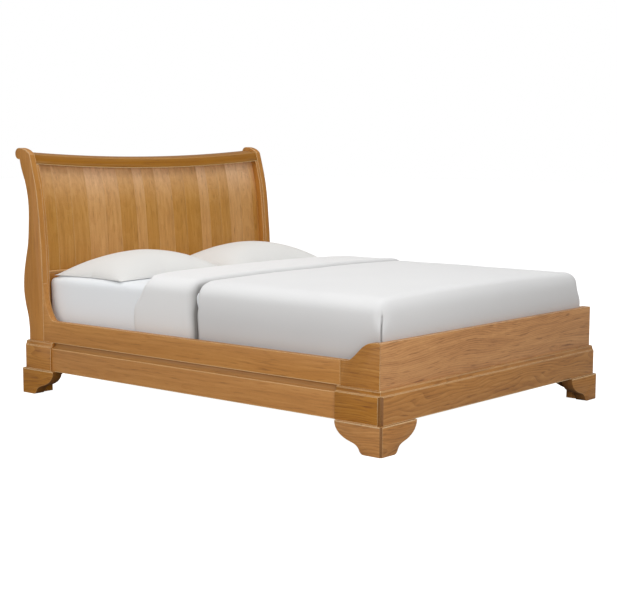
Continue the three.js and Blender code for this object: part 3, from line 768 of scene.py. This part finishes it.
def waves(points, size, strength, seed):
    shift = Vector((seed * 3.1, seed * 7.7, seed * 1.3))
    return np.array([noise.noise(Vector(p) / size + shift) for p in points]) * strength


def outwards(points, faces):
    mesh = bpy.data.meshes.new("probe")
    mesh.from_pydata(points.tolist(), [], faces)
    normals = np.empty(len(mesh.vertices) * 3, np.float32)
    mesh.vertices.foreach_get("normal", normals)
    bpy.data.meshes.remove(mesh)
    return normals.reshape(-1, 3).astype(float)


def softMesh(name, points, faces, material):
    mesh = bpy.data.meshes.new(name)
    mesh.from_pydata(points.tolist(), [], faces)
    mesh.materials.append(materials[material])
    shadeSmooth(mesh)
    return mesh


def soften(obj):
    finer = obj.modifiers.new("soften", "SUBSURF")
    finer.levels = finer.render_levels = 1


mattressSet = {
    "cell": 26 * mm, "corner": 35 * mm, "edge": 34 * mm, "under": 3 * mm, "turnUnder": 60 * mm,
    "thick": 1.2 * mm,
}


def blockOf(low, high):
    cell, corner, edge = (mattressSet[key] for key in ("cell", "corner", "edge"))
    grid = [lines(low[a], high[a], cell / share) for a, share in enumerate((1, 1, 2))]
    points, faces, _ = lattice(*grid)
    # first the upright corners
    inner = np.clip(points[:, :2], low[:2] + corner, high[:2] - corner)
    away = points[:, :2] - inner
    length = np.maximum(np.abs(away).max(1), speck)
    norm = np.maximum(np.sqrt((away ** 2).sum(1)), speck)
    both = (np.abs(away) > speck).all(1)
    points[:, :2] = np.where(both[:, None], inner + away * (length / norm)[:, None], points[:, :2])
    # then the long edges: the inset grows over the last part of the height as a quarter circle
    z = points[:, 2]
    up = np.clip((z - (high[2] - edge)) / edge, 0, 1)
    down = np.clip(((low[2] + edge) - z) / edge, 0, 1)
    inset = edge * (1 - np.sqrt(np.maximum(0, 1 - np.maximum(up, down) ** 2)))
    centre = (low + high) / 2
    span = (high - low) / 2
    for a in (0, 1):
        points[:, a] = centre[a] + (points[:, a] - centre[a]) * (span[a] - inset) / span[a]
    return points, faces


def buildMattress():
    low, high = (np.array(c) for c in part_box("mattress"))
    under = mattressSet["under"]
    points, faces = blockOf(low + [under, under, 0], high - under)
    mesh = softMesh("mattressCore", points, faces, "mattressTicking")
    core = newObject("mattressCore", mesh, "mattress", ["mattress"])
    # the fitted sheet leaves the middle of the underside open
    points, faces = blockOf(low, high)
    keep = []
    for face in faces:
        c = points[list(face)].mean(0)
        deep = min(c[0] - low[0], high[0] - c[0], c[1] - low[1], high[1] - c[1])
        if c[2] > low[2] + 1 * mm or deep < mattressSet["turnUnder"]:
            keep.append(face)
    mesh = softMesh("fittedSheet", points, keep, "sheetCotton")
    bm = bmesh.new()
    bm.from_mesh(mesh)
    bmesh.ops.delete(bm, geom=[v for v in bm.verts if not v.link_faces], context="VERTS")
    bm.to_mesh(mesh)
    bm.free()
    sheet = newObject("fittedSheet", mesh, "mattress")
    solid = sheet.modifiers.new("clothThickness", "SOLIDIFY")
    solid.thickness, solid.offset = mattressSet["thick"], -1
    print("mattress ready")


buildMattress()

# both pieces of the duvet; the fold is the tuck in the body's foot corners
duvetSet = {
    "cell": 14 * mm, "clear": 1 * mm, "skirt": 14.5 * mm, "footSkirt": 11.5 * mm, "hem": 5 * mm,
    "edgeAcross": 84 * mm, "edgeDown": 58 * mm, "edgeFoot": 44 * mm, "edgeHead": 12 * mm,
    "footCorner": 9 * mm, "cornerFrom": 150 * mm, "cornerOver": 95 * mm,
    "foldDepth": 9.5 * mm, "foldTop": 45 * mm, "foldOver": 40 * mm,
    "seed": 3, "waveLength": (0.36, 0.12), "waveHeight": (3.0 * mm, 1.0 * mm), "sideWaves": 0.35,
    "crown": 12 * mm, "bulge": 3 * mm, "lean": 8 * mm, "sideGrowth": 1.1, "leanFrom": 0.2,
}
turnbackSet = {
    "edgeFoot": 34 * mm, "edgeHead": 55 * mm, "headPull": 62 * mm, "headCorner": 105 * mm,
    "pullOver": 190 * mm, "puff": 4 * mm, "puffAt": 46 * mm, "puffWidth": 30 * mm,
    "gap": 2.5 * mm, "gapOnTop": 0.35, "gapGrowth": 1.8, "gapOver": 70 * mm,
}
# how much shade the cloth's colour takes
foldShade = {
    "crease": 0.95, "creaseOnTop": 0.5, "topFade": 4, "creaseOver": 60 * mm, "turnedSide": 0.03, "corner": 0.8,
    "cornerOver": 6 * mm, "side": 0.21, "sideGrowth": 1.5, "headEnd": 0.6,
}


def capShell(name, turned):
    # a hollow cap over the mattress: grid points inside the skirts are lifted on to the mattress top
    low, high = (np.array(c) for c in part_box(name))
    cell, tiny, near = duvetSet["cell"], duvetSet["clear"], duvetSet["hem"]
    skirt, footSkirt = duvetSet["skirt"], duvetSet["footSkirt"]
    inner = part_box("mattress")[1].z + duvetSet["clear"]
    xs = lines(low[0], high[0], cell, (low[0] + near, low[0] + skirt - tiny, low[0] + skirt,
                                       high[0] - skirt, high[0] - skirt + tiny, high[0] - near))
    footLines = () if turned else (low[1] + near, low[1] + footSkirt - tiny, low[1] + footSkirt)
    ys = lines(low[1], high[1], cell, footLines)
    zs = lines(low[2], high[2], cell)
    points, faces, keys = lattice(xs, ys, zs)
    insideX = (points[:, 0] > low[0] + skirt - tiny / 2) & (points[:, 0] < high[0] - skirt + tiny / 2)
    insideY = np.ones(len(points), bool) if turned else points[:, 1] > low[1] + footSkirt - tiny / 2
    ny, nz = keys.max(0)[1:]
    bottom = keys[:, 2] == 0
    ends = (keys[:, 1] == ny) | ((keys[:, 1] == 0) & turned)
    lifted = insideX & insideY & (bottom | ends)
    share = (points[:, 2] - low[2]) / (high[2] - low[2])
    points[lifted, 2] = (inner + share * (high[2] - inner))[lifted]
    hidden = lifted & (keys[:, 2] != nz)
    return points, faces, low, high, hidden & ~(ends & ~bottom), lifted & ends & bottom


def roundedCap(points, low, high, seen, endHem, turned):
    d = duvetSet
    # upright corners are tight at the hem and open out towards the top
    rise = smooth((points[:, 2] - (high[2] - d["cornerFrom"])) / d["cornerOver"])
    footEdge, headEdge = d["footCorner"] + (d["edgeFoot"] - d["footCorner"]) * rise, d["edgeHead"]
    if turned:
        footEdge, headEdge = turnbackSet["edgeFoot"], turnbackSet["edgeHead"]
    isFoot = points[:, 1] < (low[1] + high[1]) / 2
    radius = np.empty_like(points)
    radius[:, 0] = d["footCorner"] + (d["edgeAcross"] - d["footCorner"]) * rise
    radius[:, 1] = np.where(isFoot, footEdge, headEdge)
    radius[:, 2] = d["edgeDown"]
    lowest = low.copy()
    lowest[2] -= 2 * d["edgeDown"]  # the hem stays square
    inner = np.clip(points, lowest + radius, high - radius)
    away = points - inner
    reach = np.sqrt(((away / radius) ** 2).sum(1))
    rounded = inner + away / np.maximum(reach, speck)[:, None]
    need = (np.abs(away) > speck).sum(1) > 1
    points[endHem, 1] = np.where(need, rounded[:, 1], points[:, 1])[endHem]
    return np.where((seen & need)[:, None], rounded, points)


def dressTurnback(points, flat, normals, seen, low, high, depth):
    t = turnbackSet
    # the turned edge is drawn back where it goes over the sides
    onTop = flat[:, 2] > high[2] - hair
    over = np.where(onTop, (high[0] - low[0]) / 2 - np.abs(flat[:, 0]), high[2] - flat[:, 2])
    corner = np.exp(-(np.maximum(over, 0) / t["headCorner"]) ** 2)
    share = smooth((points[:, 1] - (high[1] - t["pullOver"])) / t["pullOver"])
    points[:, 1] -= t["headPull"] * corner * share
    puff = np.exp(-((points[:, 1] - low[1] - t["puffAt"]) / t["puffWidth"]) ** 2) * t["puff"]
    points += np.where(seen, puff, 0)[:, None] * normals * [1, 0, 1]
    # it stands a little off the body's edge, more so towards the hem
    stand = t["gap"] * (t["gapOnTop"] + (1 - t["gapOnTop"]) * smooth(depth * t["gapGrowth"]))
    points[:, 1] += stand * (1 - smooth((flat[:, 1] - low[1]) / t["gapOver"]))


def shadeOfDuvet(flat, low, high, side, depth, tuck, turned):
    # shade gathers in the crease, in the corner folds and down the hanging sides
    f = foldShade
    if turned:
        onTop = smooth(1 - depth * f["topFade"])
        near = np.clip(1 - (flat[:, 1] - low[1]) / f["creaseOver"], 0, 1) ** 2
        return near * (f["crease"] - f["creaseOnTop"] * onTop) + f["turnedSide"] * side
    corner = np.hypot(high[0] - np.abs(flat[:, 0]), flat[:, 1] - low[1])
    shade = f["corner"] * np.exp(-(corner / f["cornerOver"]) ** 2) * tuck
    shade = np.maximum(shade, f["side"] * side * smooth(depth * f["sideGrowth"]))
    return np.maximum(shade, f["headEnd"] * (flat[:, 1] > high[1] - hair))


def buildDuvetPiece(node, name, turned):
    d = duvetSet
    points, faces, low, high, hidden, endHem = capShell(node, turned)
    seen = ~hidden
    flat = points.copy()
    points = roundedCap(points, low, high, seen, endHem, turned)
    tuck = smooth((high[2] - d["foldTop"] - flat[:, 2]) / d["foldOver"])
    if not turned:
        # the cover is folded in along each upright foot corner
        edge = seen & (np.abs(np.abs(flat[:, 0]) - high[0]) < hair) & (flat[:, 1] < low[1] + hair)
        sink = np.where(edge, d["foldDepth"] * tuck, 0)
        points[:, 0] -= np.sign(flat[:, 0]) * sink
        points[:, 1] += sink
    normals = outwards(points, faces)
    upFacing = np.clip(normals[:, 2], 0, 1)
    side = np.clip(1 - np.abs(normals[:, 2]), 0, 1)
    depth = np.clip((high[2] - points[:, 2]) / (high[2] - low[2]), 0, 1)
    across = np.clip(1 - (points[:, 0] / ((high[0] - low[0]) / 2)) ** 2, 0, 1)
    ripple = sum(waves(points, length, height, d["seed"] + 4 * i)
                 for i, (length, height) in enumerate(zip(d["waveLength"], d["waveHeight"])))
    ripple *= d["sideWaves"] + (1 - d["sideWaves"]) * upFacing
    bulge = side * d["bulge"] * np.sin(np.pi * np.clip(depth * d["sideGrowth"], 0, 1))
    points = points + np.where(seen, ripple + bulge, 0)[:, None] * normals
    points[:, 2] += np.where(seen, d["crown"] * across * upFacing, 0)
    # the sides hang in a little towards the hem
    lean = np.sign(flat[:, 0]) * d["lean"] * smooth(depth * d["sideGrowth"] - d["leanFrom"])
    points[:, 0] -= np.where(seen, lean, 0) * side
    if turned:
        dressTurnback(points, flat, normals, seen, low, high, depth)
    mesh = softMesh(name, points, faces, "turnedCotton" if turned else "duvetCotton")
    # painted shade in the crease, the corner folds, down the sides and at the body's hidden head end
    shade = shadeOfDuvet(flat, low, high, side, depth, tuck, turned)
    paintedShade = mesh.attributes.new("paintedShade", "FLOAT", "POINT")
    paintedShade.data.foreach_set("value", shade.astype(np.float32))
    obj = newObject(name, mesh, "duvet", [node])
    soften(obj)


buildDuvetPiece("duvet", "duvetBody", False)
buildDuvetPiece("duvet_turnback", "duvetTurnback", True)
print("duvet ready")

pillowSet = {
    "columns": 60, "rows": 40, "seeds": {"left": 21, "right": 34}, "grow": 1.1, "drawnIn": (0.025, 0.03),
    "loft": 0.012, "uneven": 0.0006, "frames": 24, "calm": 14, "relax": 0.6, "domeShare": 0.6,
    "domePowers": (2.2, 2.4, 0.72), "inset": 4 * mm, "seamHeight": 0.02, "plump": 11 * mm,
    "upperPower": 0.9, "lowerPower": 0.35,
    "cloth": {"quality": 6, "mass": 0.25, "air_damping": 2.0, "tension_stiffness": 30,
              "compression_stiffness": 30, "shear_stiffness": 12, "bending_stiffness": 0.4,
              "use_pressure": True, "uniform_pressure_force": 6.0},
}


def pillowSkin(width, depth, seed):
    # two sheets of cloth sewn round their edge, laid almost flat
    nx, ny = pillowSet["columns"], pillowSet["rows"]
    drawnX, drawnY = pillowSet["drawnIn"]
    verts, faces, index = [], [], {}
    dice = random.Random(seed)

    def keyOf(i, j, side):
        return (i, j) if i in (0, nx) or j in (0, ny) else (i, j, side)

    for side in (1, -1):
        for j in range(ny + 1):
            for i in range(nx + 1):
                key = keyOf(i, j, side)
                if key in index:
                    continue
                u, v = 2 * i / nx - 1, 2 * j / ny - 1
                # the edges draw in a little between the corners
                x = u * width / 2 * (1 - drawnX * (1 - v * v))
                y = v * depth / 2 * (1 - drawnY * (1 - u * u))
                loft = pillowSet["loft"] * (1 - u ** 4) * (1 - v ** 4) + dice.uniform(0, pillowSet["uneven"])
                index[key] = len(verts)
                verts.append((x, y, 0 if len(key) == 2 else side * loft))
    for side in (1, -1):
        for j in range(ny):
            for i in range(nx):
                corners = ((i, j), (i + 1, j), (i + 1, j + 1), (i, j + 1))
                ring = [index[keyOf(*corner, side)] for corner in corners]
                faces.append(tuple(ring if side > 0 else reversed(ring)))
    return np.array(verts), faces


def inflate(mesh):
    obj = bpy.data.objects.new("pillowProbe", mesh)
    scene.collection.objects.link(obj)
    cloth = obj.modifiers.new("stuffing", "CLOTH")
    for key, value in pillowSet["cloth"].items():
        setattr(cloth.settings, key, value)
    cloth.settings.effector_weights.gravity = 0
    cloth.collision_settings.use_collision = False
    cloth.point_cache.frame_start, cloth.point_cache.frame_end = 1, pillowSet["frames"]
    for f in range(1, pillowSet["frames"] + 1):
        scene.frame_set(f)
    graph = bpy.context.evaluated_depsgraph_get()
    made = bpy.data.meshes.new_from_object(obj.evaluated_get(graph))
    points = np.empty(len(made.vertices) * 3, np.float32)
    made.vertices.foreach_get("co", points)
    bpy.data.meshes.remove(made)
    bpy.data.objects.remove(obj)
    scene.frame_set(1)
    return points.reshape(-1, 3).astype(float)


def calmed(points, faces, rim):
    # lets the sharpest creases relax; the sewn edge stays put
    edges = np.array(sorted({tuple(sorted((f[i], f[(i + 1) % 4]))) for f in faces for i in range(4)}))
    count = np.bincount(edges.ravel(), minlength=len(points))[:, None]
    start = points.copy()
    relax = pillowSet["relax"]
    for _ in range(pillowSet["calm"]):
        total = np.zeros_like(points)
        np.add.at(total, edges[:, 0], points[edges[:, 1]])
        np.add.at(total, edges[:, 1], points[edges[:, 0]])
        points = np.where(rim[:, None], start, (1 - relax) * points + relax * total / count)
    return points


def domed(skin):
    # a plain cushion over the same points, one unit high
    u, v = (skin[:, a] / np.abs(skin[:, a]).max() for a in (0, 1))
    p, q, r = pillowSet["domePowers"]
    dome = skin.copy()
    dome[:, 2] = np.sign(skin[:, 2]) * ((1 - np.abs(u) ** p) * (1 - np.abs(v) ** q)).clip(0) ** r
    return dome


def fitted(points, low, high):
    # fits the pillow to its own space: the seam lies low and the underside flattens on the bed
    size = high - low
    points -= (points.min(0) + points.max(0)) / 2
    for a in (0, 1):
        points[:, a] *= (size[a] - pillowSet["inset"]) / np.ptp(points[:, a])
    share = points[:, 2] / np.abs(points[:, 2]).max()
    seam = pillowSet["seamHeight"]
    upper, lower = size[2] * (1 - seam) + pillowSet["plump"], size[2] * seam
    above = np.abs(share) ** pillowSet["upperPower"] * upper
    below = np.abs(share) ** pillowSet["lowerPower"] * lower
    points[:, 2] = np.where(share > 0, above, -below) + low[2] + lower
    points[:, :2] += ((low + high) / 2)[:2]
    return points


def buildPillow(hand, seed):
    node, name = f"pillow_{hand}", f"pillow{hand.capitalize()}"
    low, high = (np.array(c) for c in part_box(node))
    width, depth = (high - low)[:2] * pillowSet["grow"]
    skin, faces = pillowSkin(width, depth, seed)
    mesh = softMesh(name, skin, faces, "pillowCotton")
    dome = domed(skin)
    points = dome.copy()
    points = calmed(inflate(mesh), faces, np.abs(skin[:, 2]) < speck)
    points[:, 2] /= np.abs(points[:, 2]).max()
    points[:, :2] *= np.ptp(dome[:, :2], 0) / np.ptp(points[:, :2], 0)
    points += pillowSet["domeShare"] * (dome - points)
    points = fitted(points, low, high)
    mesh.vertices.foreach_set("co", points.astype(np.float32).ravel())
    mesh.update()
    obj = newObject(name, mesh, node, [node])
    soften(obj)


for hand, seed in pillowSet["seeds"].items():
    buildPillow(hand, seed)
print("pillows ready")
